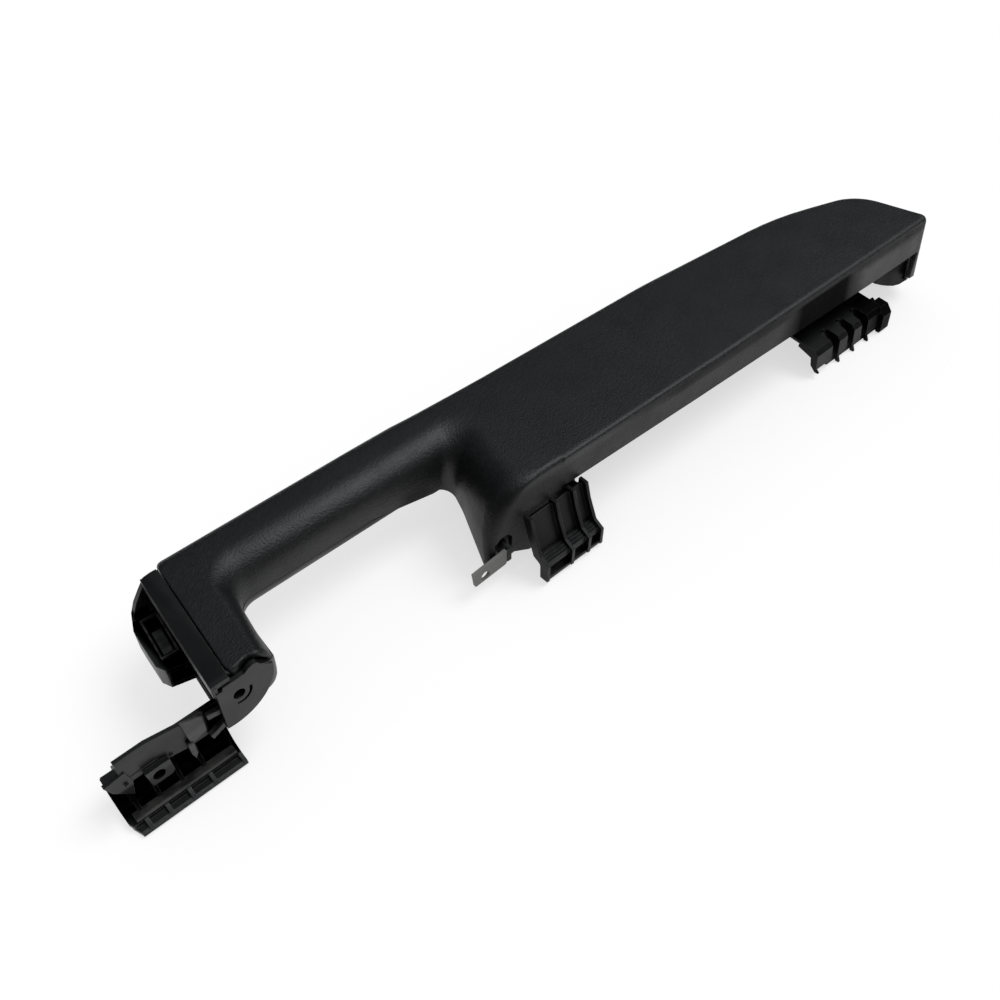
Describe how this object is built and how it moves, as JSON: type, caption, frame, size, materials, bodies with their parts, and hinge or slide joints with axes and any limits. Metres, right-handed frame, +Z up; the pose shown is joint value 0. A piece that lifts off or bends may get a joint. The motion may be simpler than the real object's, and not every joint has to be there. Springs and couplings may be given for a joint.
{
  "type": "car door armrest with pull handle",
  "caption": "Car door armrest: a grained cover with a hollowed pull handle on a ribbed carrier with screw tabs, a snap socket and brackets",
  "frame": {"origin": "centre of the screw hole in the handle's end cheek, at the cheek's outer face", "axes": "+X along the arm pad towards its tip, +Y towards the seat, +Z up out of the pad's top"},
  "size_m": [0.5251, 0.0877, 0.0521],
  "materials": {
    "grained": "fine leather grain",
    "smooth": "smooth satin",
    "zinc": "zinc plated"
  },
  "bodies": {
    "root": {"cover": "grained", "carrier": "smooth", "screws": "zinc"}
  },
  "joints": []
}
